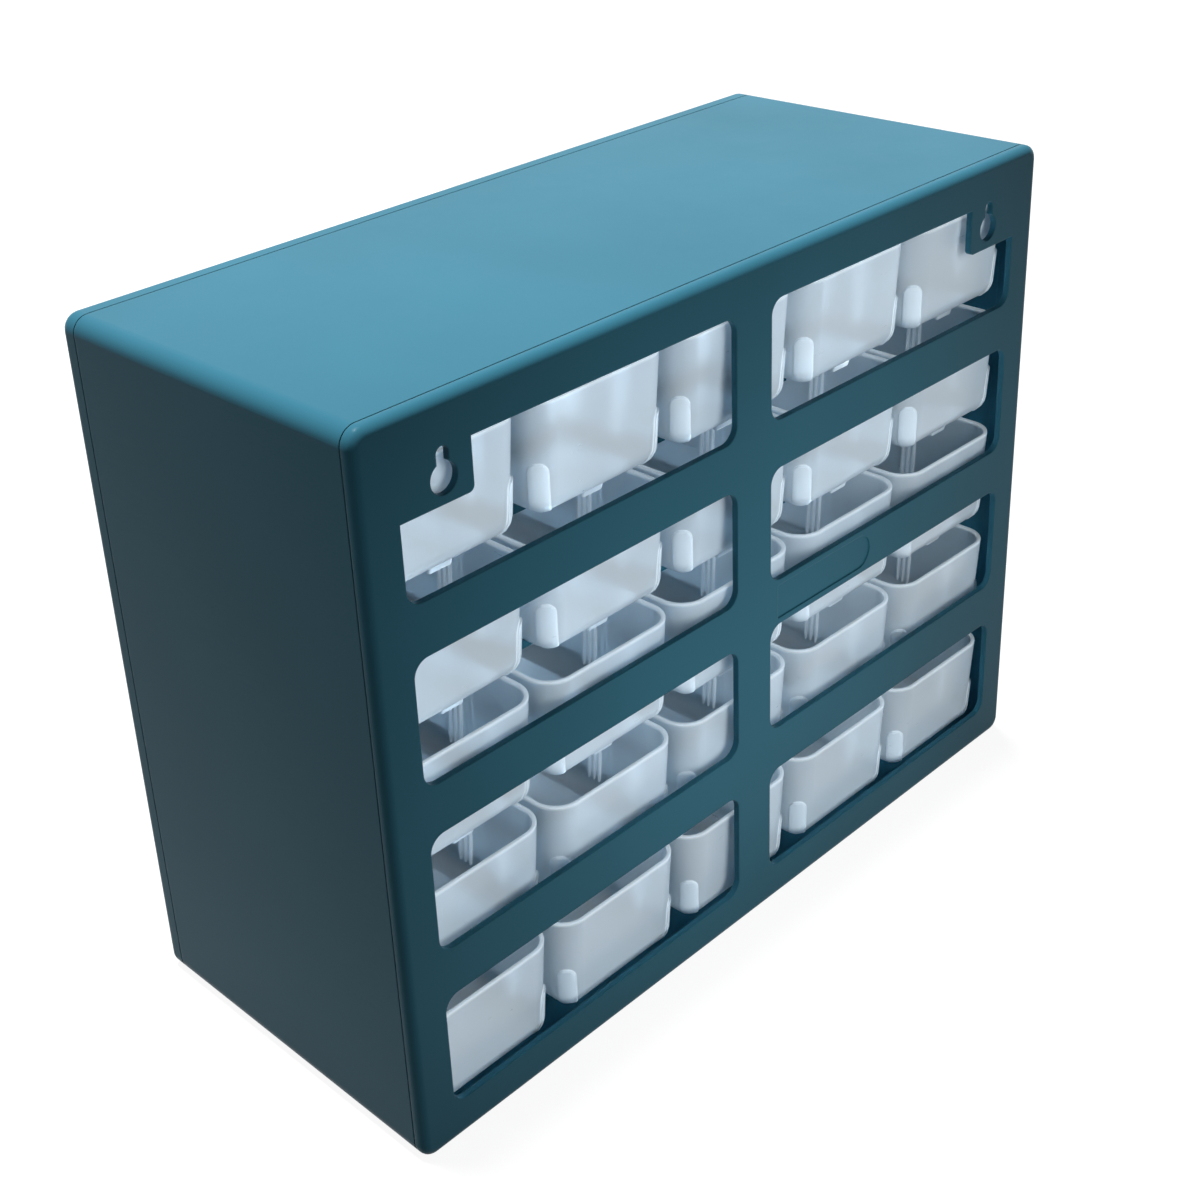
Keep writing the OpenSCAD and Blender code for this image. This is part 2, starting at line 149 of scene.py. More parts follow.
class StageSettings(PropertyGroup):
    """Floor, lamps and camera of the studio stage"""

    floor_colour: FloatVectorProperty(name="Floor", description="Colour of the pale floor",
                                      default=(0.04, 0.04, 0.04), subtype="COLOR", min=0, max=1)
    shadow: FloatProperty(name="Shadow", description="Share of the floor's white that a shadow takes away",
                          default=0.08, min=0, max=1, subtype="FACTOR")
    ambience: FloatProperty(name="Ambience", description="Strength of the even light from all round",
                            default=0.02, min=0, max=2)
    top_strength: FloatProperty(name="Top light", description="Strength of the even light on the casing",
                                default=5.9, min=0)
    open_strength: FloatProperty(name="Open light",
                                 description="Strength of the even light on the drawers",
                                 default=1.6, min=0)
    rear_power: FloatProperty(name="Rear lamp",
                              description="Power of the small lamp close behind the cabinet",
                              default=0.26, min=0, unit="POWER")
    drawer_power: FloatProperty(name="Drawer lamp",
                                description="Power of the rear lamp for the drawers alone",
                                default=14.5, min=0, unit="POWER")
    front_power: FloatProperty(name="Front lamp", description="Power of the lamp before the drawer fronts",
                               default=5.0, min=0, unit="POWER")
    side_power: FloatProperty(name="Side lamp", description="Power of the faint lamp at the cabinet's side",
                              default=0.8, min=0, unit="POWER")
    lens: FloatProperty(name="Lens", description="Focal length in millimetres on a 36 mm sensor",
                        default=54.403, min=10)


# ------------------------------------------------------------------ surfaces


def closed_mesh(name, points, faces):
    """Mesh from an array of points (metres) and faces, with doubles merged and faces turned outward."""
    double, sliver = 2e-6, 1e-7
    mesh = bpy.data.meshes.new(name)
    mesh.from_pydata(points.tolist(), [], faces)
    work = bmesh.new()
    work.from_mesh(mesh)
    bmesh.ops.remove_doubles(work, verts=work.verts, dist=double)
    bmesh.ops.dissolve_degenerate(work, dist=sliver, edges=work.edges)
    bmesh.ops.recalc_face_normals(work, faces=work.faces)
    work.to_mesh(mesh)
    work.free()
    return mesh


def grid_faces(rows, cols, close_rows=False, close_cols=False):
    """Quads of a rows by cols grid of points, optionally wrapped round in either direction."""
    i = np.arange(rows if close_rows else rows - 1)
    j = np.arange(cols if close_cols else cols - 1)
    a, b = np.meshgrid(i, j, indexing="ij")
    a1, b1 = (a + 1) % rows, (b + 1) % cols
    quads = np.stack([a * cols + b, a1 * cols + b, a1 * cols + b1, a * cols + b1], axis=-1)
    return quads.reshape(-1, 4).tolist()


def loft(loops):
    """Closed solid whose skin passes through point j of every loop i, with a flat face at each end."""
    loops = np.asarray(loops, float)
    count, around = loops.shape[:2]
    faces = grid_faces(count, around, close_cols=True)
    last = (count - 1) * around
    faces.append(list(range(around))[::-1])
    faces.append(list(range(last, last + around)))
    return loops.reshape(-1, 3), faces


def join(*solids):
    """Points and faces of several solids as one pair of lists."""
    points, faces, start = [], [], 0
    for p, f in solids:
        points.append(p)
        faces += [[k + start for k in face] for face in f]
        start += len(p)
    return np.concatenate(points), faces


def arc(centre, radius, start, end, steps):
    """Points on a circle from one angle to another, in degrees."""
    a = np.radians(np.linspace(start, end, steps))
    return np.stack([centre[0] + radius * np.cos(a), centre[1] + radius * np.sin(a)], axis=1)


def round_rect(w, h, r, steps=6):
    """Rectangle w by h with its corners drawn as quarter circles of radius r, once round."""
    spots = [(w / 2 - r, h / 2 - r, 0), (r - w / 2, h / 2 - r, 90),
             (r - w / 2, r - h / 2, 180), (w / 2 - r, r - h / 2, 270)]
    return np.concatenate([arc((x, y), r, a, a + 90, steps) for x, y, a in spots])


class Tub:
    """Section and places of one drawer's tub, in millimetres from its underside and middle.

    The rim is the part that is painted with a glow: the wall's topmost rim_depth.
    """

    rim_depth = 1.5
    arc_steps, soft_steps, turn_steps = 9, 5, 13

    def __init__(self, sizes):
        to_mm = 1 / MM
        self.w, self.l, self.h = sizes.width * to_mm, sizes.length * to_mm, sizes.height * to_mm
        self.t, self.r = sizes.wall * to_mm, sizes.floor_round * to_mm
        self.corner, self.soft = sizes.corner * to_mm, sizes.rim_round * to_mm
        self.front = sizes.front * to_mm
        self.slope = sizes.draft * to_mm / self.h
        self.lean = math.atan(self.slope)
        self.spine = self.w / 2 - self.corner
        self.y_front = -self.l
        self.y_spine = -self.corner

    def wall_x(self, z):
        """Distance of the outer wall from the spine at height z: a straight line that leans in."""
        return self.corner - (self.h - z) * self.slope

    def outer_x(self, z):
        """The same with the rounded lower edge: below the arc's top, x is the arc's half chord."""
        foot = self.wall_x(0)
        cx = foot + self.r * self.slope - self.r / math.cos(self.lean)
        z = np.asarray(z, float)
        low = cx + np.sqrt(np.maximum(self.r ** 2 - (self.r - np.minimum(z, self.r)) ** 2, 0))
        return np.where(z < self.r * (1 - math.sin(self.lean)), low, self.wall_x(z))

    def section(self):
        """Outline of the wall and floor: floor, lower arc, leaning wall, soft rim, and back inside."""
        below = self.h - self.rim_depth
        cos = math.cos(self.lean)
        tilt = math.degrees(self.lean)
        foot = self.wall_x(0)
        cx = foot + self.r * self.slope - self.r / cos
        low = arc((cx, self.r), self.r, -90, -tilt, self.arc_steps)
        ring = self.h - self.soft
        out_x = self.wall_x(ring) - self.soft / cos
        back_x = self.wall_x(ring) - self.t / cos + self.soft / cos
        out = arc((out_x, ring), self.soft, -tilt, 90, self.soft_steps)
        back = arc((back_x, ring), self.soft, 90, 180 - tilt, self.soft_steps)
        ri = self.r - self.t
        foot_in = self.wall_x(self.t) - self.t / cos
        ci = foot_in + ri * self.slope - ri / cos
        inner = arc((ci, self.t + ri), ri, -tilt, -90, self.arc_steps)
        outside = [(self.wall_x(below), below)]
        inside = [(self.wall_x(below) - self.t / cos, below)]
        return np.concatenate([[(0, 0)], low, outside, out, back, inside, inner, [(0, self.t)]])

    def solid(self):
        """Section carried along the spine: up one side, round the corners and down the other side.

        A point is spine(u) + normal(u) * x(v), raised by z(v); the normal turns at the corners.
        """
        turn = np.radians(np.linspace(0, 90, self.turn_steps))
        spine = [(self.spine, self.y_front)] + [(self.spine, self.y_spine)] * len(turn)
        normal = [(1.0, 0.0)] + [(math.cos(a), math.sin(a)) for a in turn]
        spine += [(-x, y) for x, y in spine[::-1]]
        normal += [(-x, y) for x, y in normal[::-1]]
        spine, normal, sec = np.array(spine), np.array(normal), self.section()
        points = np.empty((len(spine), len(sec), 3))
        points[..., :2] = spine[:, None, :] + normal[:, None, :] * sec[None, :, :1]
        points[..., 2] = sec[None, :, 1]
        rows, cols = points.shape[:2]
        faces = grid_faces(rows, cols)
        far, last = (rows - 1) * cols, cols - 1
        mid = rows // 2
        bends = (0, 1, mid - 1, mid, rows - 2, rows - 1)
        for v in (0, last):
            faces.append([row * cols + v for row in bends])
        faces.append(list(range(cols)))
        faces.append(list(range(far, far + cols)))
        faces.append([0, far, far + last, last])
        return points.reshape(-1, 3), faces


def pillar(tub, side, y, width, reach, z_low, z_top):
    """Divider rib: a rounded bar carried down the leaning wall, whose last part narrows to a point.

    Each station from the rim down has a height, a share of the width and a share of the reach.
    """
    sunk_share, soft_most, soft_share = 0.55, 0.3, 0.6
    z = np.array([z_top, z_top - 6, 20, z_low + 5, z_low + 3.2, z_low + 1.4, z_low + 0.4, z_low])
    slim = np.array([1, 1, 1, 1, 0.9, 0.62, 0.34, 0.12])
    stand = np.array([0.55, 1, 1, 1, 0.96, 0.85, 0.7, 0.55])
    root = tub.wall_x(z) - sunk_share * tub.t
    tip = tub.wall_x(z) - tub.t - reach * stand
    half = width / 2 * slim
    soft = np.minimum(soft_most, half * soft_share)
    ring = np.stack([
        np.stack([root, -half], 1), np.stack([tip + soft, -half], 1), np.stack([tip, soft - half], 1),
        np.stack([tip, half - soft], 1), np.stack([tip + soft, half], 1), np.stack([root, half], 1),
    ], axis=1)
    loops = np.empty((len(z), ring.shape[1], 3))
    loops[..., 0] = side * (tub.spine + ring[..., 0])
    loops[..., 1] = y + ring[..., 1]
    loops[..., 2] = z[:, None]
    return loft(loops)


def corner_pad(tub, side, width, height, out):
    """Round-topped pad: rows of the corner's own surface, raised by a soft step, closed behind.

    Across the drawer the pad stays within the tub's own side, so that it passes the rails.
    """
    foot, sunk, step, back_share = 0.9, 0.35, 0.5, 0.6
    spring = height - width / 2
    low = np.linspace(foot, spring, 9)
    crown = spring + width / 2 * np.sin(np.radians(np.linspace(12, 88, 8)))
    z = np.concatenate([low, crown])
    half = np.where(z < spring, width / 2, np.sqrt(np.maximum((width / 2) ** 2 - (z - spring) ** 2, 0.0)))
    across = np.array([-1, -0.93, -0.75, -0.4, 0, 0.4, 0.75, 0.93, 1])
    lift = np.array([0, 0.75, 1, 1, 1, 1, 1, 0.75, 0])
    reach = tub.outer_x(z)
    bend = np.arcsin(np.clip(half[:, None] * across / reach[:, None], -1, 1)) + math.pi / 4
    ease = np.clip((height - z) / step, 0, 1)[:, None]
    front = reach[:, None] - sunk + (sunk + out) * lift * ease
    behind = np.repeat((reach - back_share * tub.t)[:, None], len(across), axis=1)
    radius = np.concatenate([front, behind[:, ::-1]], axis=1)
    angle = np.concatenate([bend, bend[:, ::-1]], axis=1)
    beside = np.minimum(radius * np.cos(angle), reach[:, None] - PAD_CLEAR)
    loops = np.stack([side * (tub.spine + beside), tub.y_spine + radius * np.sin(angle),
                      np.repeat(z[:, None], radius.shape[1], axis=1)], axis=-1)
    return loft(loops)


def stop_nub(width, depth, y):
    """Stop nub: an outline in Y and Z carried across the drawer, drawn in at both ends."""
    sunk = 0.9
    outline = np.array([(0.0, sunk), (0.0, -depth + 0.5), (0.15, -depth + 0.12), (0.5, -depth),
                        (depth * 0.45, -depth), (depth * 0.75, -depth + 0.3), (depth + 0.3, sunk)])
    middle = outline.mean(axis=0)
    x = np.array([-1, -0.94, -0.82, 0, 0.82, 0.94, 1]) * width / 2
    scale = np.array([0.55, 0.85, 1, 1, 1, 0.85, 0.55])
    loops = np.empty((len(x), len(outline), 3))
    loops[..., 0] = x[:, None]
    loops[..., 1] = y + (middle[0] + (outline[:, 0] - middle[0])[None, :] * scale[:, None])
    loops[..., 2] = np.where(outline[:, 1] > 0, outline[:, 1], outline[None, :, 1] * scale[:, None])
    return loft(loops)


def front_plate(tub, side, drop, rise):
    """Front panel: one round-cornered outline repeated through the thickness, smaller at the faces."""
    w, h = tub.w + 2 * side, drop + tub.h + rise
    inset = np.array([0.9, 0.25, 0.0, 0.0, 0.3, 0.9])
    y = tub.y_front - np.array([0.0, 0.0, 0.25, tub.front - 0.8, tub.front - 0.25, tub.front])
    loops = []
    for cut, depth in zip(inset, y):
        ring = round_rect(w - 2 * cut, h - 2 * cut, FRONT_CORNER - cut)
        loops.append(np.stack([ring[:, 0], np.full(len(ring), depth), ring[:, 1] + h / 2 - drop], axis=1))
    return loft(loops)


def finger_pull(tub, radius, out, lip, z):
    """Finger pull: a lip that follows an arc, carried back as a level shelf into the front panel."""
    face = tub.y_front - tub.front
    centre = face - out + radius
    reach = math.acos((radius - out) / radius)
    a = np.linspace(-reach, reach, 25)
    thick, soft = tub.t, 0.45
    end_lip, fade_angle = 0.35, 0.12
    fade = np.clip((reach - np.abs(a)) / fade_angle, 0.0, 1.0)
    low = -lip * (end_lip + (1 - end_lip) * fade)
    outline = [(0.0, "low", soft), (soft, "low", 0.0), (thick, "low", 0.0), (thick, "flat", 0.0),
               (None, "flat", 0.0), (None, "top", 0.0), (soft, "top", 0.0), (0.0, "top", -soft)]
    loops = np.empty((len(a), len(outline), 3))
    for k, (depth, level, shift) in enumerate(outline):
        inward = thick if depth is None else depth
        x = (radius - inward) * np.sin(a)
        y = centre - (radius - inward) * np.cos(a)
        if depth is None:
            y = np.full(len(a), face + tub.front / 2)
        height = {"low": low, "flat": np.zeros(len(a)), "top": np.full(len(a), thick)}[level]
        loops[:, k] = np.stack([x, np.minimum(y, face + tub.front / 2), z + height + shift], axis=1)
    return loft(loops)


def gusset(tub, side, size):
    """Gusset from the rim up to the front panel: a thin plate with a hollow slope."""
    run, sunk, wall_shares = 3 * size, 0.7, np.array([0.9, 0.15])
    slope = arc((run, run), run, 180, 270, 9)
    edge = np.concatenate([[(0.0, -sunk)], [(0.0, size)], slope[slope[:, 1] <= size], [(run, -sunk)]])
    x = side * (tub.w / 2 - tub.t * wall_shares)
    loops = np.empty((2, len(edge), 3))
    loops[..., 0] = x[:, None]
    loops[..., 1] = tub.y_front + edge[:, 0]
    loops[..., 2] = tub.h + edge[:, 1]
    return loft(loops)


def drawer_solid(sizes):
    """Points (millimetres, from the rear rim's line and the tub's underside) and faces of a drawer."""
    tub = Tub(sizes)
    solids = [tub.solid(), front_plate(tub, FRONT_SIDE, FRONT_DROP, FRONT_RISE),
              stop_nub(NUB_WIDTH, NUB_DEPTH, NUB_Y),
              finger_pull(tub, sizes.pull_radius / MM, PULL_OUT, PULL_LIP, tub.h / 2 + PULL_RAISED)]
    for side in (-1, 1):
        solids += [corner_pad(tub, side, PAD_WIDTH, PAD_HEIGHT, PAD_OUT), gusset(tub, side, GUSSET_SIZE)]
        for station in RIB_STATIONS:
            for k in (-1, 0, 1):
                solids.append(pillar(tub, side, station + k * RIB_PITCH, RIB_WIDTH, RIB_REACH, RIB_LOW,
                                     tub.h - RIB_TOP_GAP))
    return join(*solids)


# ------------------------------------------------------------------ materials


def new_group(name, inputs, outputs):
    """Empty shader node group with named sockets; each entry is (name, type, default or None)."""
    group = bpy.data.node_groups.new(name, "ShaderNodeTree")
    for direction, sockets in (("INPUT", inputs), ("OUTPUT", outputs)):
        for label, kind, default in sockets:
            socket = group.interface.new_socket(label, in_out=direction, socket_type="NodeSocket" + kind)
            if default is not None:
                socket.default_value = default
    return group, group.nodes.new("NodeGroupInput"), group.nodes.new("NodeGroupOutput")


def add(tree, kind, **values):
    """New node; in_ and an input's name or number sets that input, and any other name is a property."""
    node = tree.nodes.new("ShaderNode" + kind)
    for key, value in values.items():
        if key.startswith("in_"):
            label = key.removeprefix("in_")
            socket = int(label) if label.isdigit() else label.replace("_", " ")
            node.inputs[socket].default_value = value
        else:
            setattr(node, key, value)
    return node


def soft_edge_group():
    """Mask and normal of the edges: where a rounded normal departs from the face's own normal.

    The mask starts at one cosine between the two normals and is full at the other.
    """
    start, full = 0.995, 0.86
    group, given, out = new_group(
        "Soft Edge", [("Radius", "Float", 0.0007)], [("Mask", "Float", None), ("Normal", "Vector", None)])
    bevel = add(group, "Bevel", samples=4)
    own = add(group, "NewGeometry")
    dot = add(group, "VectorMath", operation="DOT_PRODUCT")
    mask = add(group, "MapRange")
    mask.inputs["From Min"].default_value = start
    mask.inputs["From Max"].default_value = full
    link = group.links.new
    link(given.outputs["Radius"], bevel.inputs["Radius"])
    link(bevel.outputs["Normal"], dot.inputs[0])
    link(own.outputs["Normal"], dot.inputs[1])
    link(dot.outputs["Value"], mask.inputs["Value"])
    link(mask.outputs["Result"], out.inputs["Mask"])
    link(bevel.outputs["Normal"], out.inputs["Normal"])
    return group


def grain_group():
    """Moulded grain: fine noise for height, broad noise for a slow drift, and level streaks for rubbing."""
    streaks = (60.0, 60.0, 700.0)
    group, given, out = new_group(
        "Moulded Grain", [("Scale", "Float", 1400.0), ("Drift Scale", "Float", 9.0)],
        [("Height", "Float", None), ("Drift", "Float", None), ("Rub", "Float", None)])
    place = add(group, "TexCoord")
    fine = add(group, "TexNoise", in_Detail=3.0, in_Roughness=0.6)
    broad = add(group, "TexNoise", in_Detail=2.0, in_Roughness=0.5)
    stretch = add(group, "Mapping")
    stretch.inputs["Scale"].default_value = streaks
    rub = add(group, "TexNoise", in_Scale=1.0, in_Detail=4.0, in_Roughness=0.7)
    link = group.links.new
    link(place.outputs["Object"], fine.inputs["Vector"])
    link(place.outputs["Object"], broad.inputs["Vector"])
    link(place.outputs["Object"], stretch.inputs["Vector"])
    link(stretch.outputs["Vector"], rub.inputs["Vector"])
    link(given.outputs["Scale"], fine.inputs["Scale"])
    link(given.outputs["Drift Scale"], broad.inputs["Scale"])
    link(fine.outputs["Fac"], out.inputs["Height"])
    link(broad.outputs["Fac"], out.inputs["Drift"])
    link(rub.outputs["Fac"], out.inputs["Rub"])
    return group


def tone_group():
    """Colour of a moulded surface: base colour, drifting in value, and lighter at the edges, a painted
    highlight.
    """
    group, given, out = new_group(
        "Moulded Tone",
        [("Base", "Color", (0.5, 0.5, 0.5, 1)), ("Edge", "Color", (0.8, 0.8, 0.8, 1)),
         ("Mask", "Float", 0.0), ("Drift", "Float", 0.5), ("Amount", "Float", 0.08)],
        [("Color", "Color", None)])
    link = group.links.new
    spread = add(group, "MapRange")
    spread.inputs["From Min"].default_value = 0.3
    spread.inputs["From Max"].default_value = 0.7
    low = add(group, "Math", operation="SUBTRACT", in_0=1.0)
    high = add(group, "Math", operation="ADD", in_0=1.0)
    shade = add(group, "HueSaturation")
    mix = add(group, "Mix", data_type="RGBA")
    link(given.outputs["Amount"], low.inputs[1])
    link(given.outputs["Amount"], high.inputs[1])
    link(given.outputs["Drift"], spread.inputs["Value"])
    link(low.outputs[0], spread.inputs["To Min"])
    link(high.outputs[0], spread.inputs["To Max"])
    link(spread.outputs["Result"], shade.inputs["Value"])
    link(given.outputs["Base"], shade.inputs["Color"])
    link(given.outputs["Mask"], mix.inputs["Factor"])
    link(shade.outputs["Color"], mix.inputs["A"])
    link(given.outputs["Edge"], mix.inputs["B"])
    link(mix.outputs["Result"], out.inputs["Color"])
    return group


def place_group(tree, name, **values):
    """A node that holds a shared group, with its own values."""
    node = tree.nodes.new("ShaderNodeGroup")
    node.node_tree = bpy.data.node_groups[name]
    for key, value in values.items():
        node.inputs[key.replace("_", " ")].default_value = value
    return node


def rim_weight(mesh, base, tub):
    """Vertex attribute that masks the painted rim glow: 1 on the tub's rim, 0 a rim's depth below it and on
    the front panel's top.

    The base is the height of the tub's underside in the mesh, in metres.
    """
    slack = 0.1
    z = np.empty(len(mesh.vertices) * 3)
    mesh.vertices.foreach_get("co", z)
    z = (z[2::3] - base) / MM
    weight = np.clip((z - tub.h + tub.rim_depth) / (tub.rim_depth - tub.soft), 0.0, 1.0)
    layer = mesh.attributes.new("rim", "FLOAT", "POINT")
    layer.data.foreach_set("value", np.where(z > tub.h + slack, 0.0, weight))


def rim_glow(tree, shader, strength):
    """Paints a glow (emission) on the rims, and less so on the other edges, for the light that clear walls
    pipe to them.
    """
    rim = add(tree, "Attribute", attribute_name="rim")
    edges = next(n for n in tree.nodes if n.type == "GROUP" and n.node_tree.name == "Soft Edge")
    part = add(tree, "Math", operation="MULTIPLY", in_1=EDGE_GLOW)
    most = add(tree, "Math", operation="MAXIMUM")
    tint = add(tree, "Mix", data_type="RGBA")
    tint.inputs["A"].default_value = (0, 0, 0, 1)
    tint.inputs["B"].default_value = GLOW_TINT
    tree.links.new(edges.outputs["Mask"], part.inputs[0])
    tree.links.new(part.outputs[0], most.inputs[0])
    tree.links.new(rim.outputs["Fac"], most.inputs[1])
    tree.links.new(most.outputs[0], tint.inputs["Factor"])
    tree.links.new(tint.outputs["Result"], shader.inputs["Emission Color"])
    shader.inputs["Emission Strength"].default_value = strength


def thin_wall(tree, shader, share):
    """Makes a wall scatter light once: a ray leaves the plastic freely, and lamps pass by a share."""
    path = add(tree, "LightPath")
    side = add(tree, "NewGeometry")
    part = add(tree, "Math", operation="MULTIPLY", in_1=share)
    free = add(tree, "Math", operation="MAXIMUM")
    clear = add(tree, "BsdfTransparent")
    mix = add(tree, "MixShader")
    tree.links.new(path.outputs["Is Shadow Ray"], part.inputs[0])
    tree.links.new(part.outputs[0], free.inputs[0])
    tree.links.new(side.outputs["Backfacing"], free.inputs[1])
    tree.links.new(free.outputs[0], mix.inputs[0])
    tree.links.new(shader.outputs[0], mix.inputs[1])
    tree.links.new(clear.outputs[0], mix.inputs[2])
    tree.links.new(mix.outputs[0], tree.nodes["Material Output"].inputs["Surface"])


def seen_rays(tree):
    """Output that is 1 for camera, glossy and transmitted rays, and 0 for the rays that light things."""
    path = add(tree, "LightPath")
    first = add(tree, "Math", operation="MAXIMUM")
    second = add(tree, "Math", operation="MAXIMUM")
    tree.links.new(path.outputs["Is Camera Ray"], first.inputs[0])
    tree.links.new(path.outputs["Is Glossy Ray"], first.inputs[1])
    tree.links.new(first.outputs[0], second.inputs[0])
    tree.links.new(path.outputs["Is Transmission Ray"], second.inputs[1])
    return second.outputs[0]


def plastic(name, base, edge, roughness, edge_radius, grain, **sockets):
    """Moulded plastic: grain, drifting tone, edges lightened as a painted highlight, and softened corners,
    on one shader.
    """
    smoothest, roughest = roughness - 0.05, roughness + 0.07
    highlight_share, grain_depth = 0.45, 0.0002
    material = bpy.data.materials.new(name)
    material.use_nodes = True
    tree = material.node_tree
    shader = tree.nodes["Principled BSDF"]
    for key, value in sockets.items():
        shader.inputs[key.replace("_", " ")].default_value = value
    edges = place_group(tree, "Soft Edge", Radius=edge_radius)
    mould = place_group(tree, "Moulded Grain")
    tone = place_group(tree, "Moulded Tone", Base=(*base, 1), Edge=(*edge, 1))
    # Share of the lighter edge colour that the edge mask paints on: a painted highlight
    painted_highlight = add(tree, "Math", operation="MULTIPLY", in_1=highlight_share, use_clamp=True)
    rough = add(tree, "MapRange")
    rough.inputs["To Min"].default_value = smoothest
    rough.inputs["To Max"].default_value = roughest
    bump = add(tree, "Bump", in_Strength=grain, in_Distance=grain_depth)
    link = tree.links.new
    link(edges.outputs["Mask"], painted_highlight.inputs[0])
    link(painted_highlight.outputs[0], tone.inputs["Mask"])
    link(mould.outputs["Drift"], tone.inputs["Drift"])
    link(tone.outputs["Color"], shader.inputs["Base Color"])
    link(mould.outputs["Rub"], rough.inputs["Value"])
    link(rough.outputs["Result"], shader.inputs["Roughness"])
    link(mould.outputs["Height"], bump.inputs["Height"])
    link(edges.outputs["Normal"], bump.inputs["Normal"])
    link(bump.outputs["Normal"], shader.inputs["Normal"])
    return material


def shared_groups():
    """Builds the shared node groups, once."""
    for name, build in (("Soft Edge", soft_edge_group), ("Moulded Grain", grain_group),
                        ("Moulded Tone", tone_group)):
        if name not in bpy.data.node_groups:
            build()


# ------------------------------------------------------------------ operators


class CABINET_OT_casing(Operator):
    """Gives the sleeve, front frame, back and rail racks their moulded finish"""

    bl_idname = "cabinet.casing"
    bl_label = "Finish Casing"

    def execute(self, context):
        shared_groups()
        look = context.scene.cabinet_casing
        skin = plastic("Casing plastic", look.plastic, look.edge, look.gloss, look.edge_radius, look.grain,
                       IOR=CASING_IOR)
        # The racks sit inside the casing: their darker colour is painted shade
        shaded_plastic = tuple(RACK_PAINTED_SHADE * c for c in look.plastic)
        rack = plastic("Rail plastic", shaded_plastic, look.edge, look.gloss + RACK_ROUGHER, look.edge_radius / 2,
                       look.grain, IOR=CASING_IOR)
        lit = bpy.data.collections.new(CASING_SET)
        for node in CASING:
            lit.objects.link(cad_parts[node])
            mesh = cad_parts[node].data
            mesh.materials.clear()
            mesh.materials.append(rack if node.startswith("rail") else skin)
        return {"FINISHED"}


class CABINET_OT_drawers(Operator):
    """Builds every translucent drawer where its CAD drawer stands"""

    bl_idname = "cabinet.drawers"
    bl_label = "Build Drawers"

    def execute(self, context):
        shared_groups()
        sizes = context.scene.cabinet_drawer
        milky = plastic("Drawer plastic", sizes.plastic, DRAWER_EDGE_HIGHLIGHT, sizes.frost, DRAWER_EDGE_RADIUS,
                        DRAWER_GRAIN, IOR=DRAWER_IOR, Transmission_Weight=sizes.clarity)
        tree = milky.node_tree
        shader = tree.nodes["Principled BSDF"]
        thin_wall(tree, shader, sizes.lamp_share)
        rim_glow(tree, shader, sizes.rim_glow)
        points, faces = drawer_solid(sizes)
        lit = bpy.data.collections.new(DRAWER_SET)
        for node in DRAWERS:
            low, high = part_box(node)
            # The CAD drawer's box reaches down to its nub, and the tub's underside is a nub's depth higher
            place = np.array([(low[0] + high[0]) / 2, high[1], low[2] + NUB_DEPTH * MM])
            mesh = closed_mesh(node + "_tub", points * MM + place, faces)
            for p in mesh.polygons:
                p.use_smooth = True
            mesh.materials.append(milky)
            piece = bpy.data.objects.new(node + "_tub", mesh)
            context.scene.collection.objects.link(piece)
            lit.objects.link(piece)
            rim_weight(mesh, place[2], Tub(sizes))
            crease = piece.modifiers.new("Shade flats", "WEIGHTED_NORMAL")
            crease.keep_sharp = True
            mesh.set_sharp_from_angle(angle=SHARP_ANGLE)
            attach(piece, node)
            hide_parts(node)
        return {"FINISHED"}


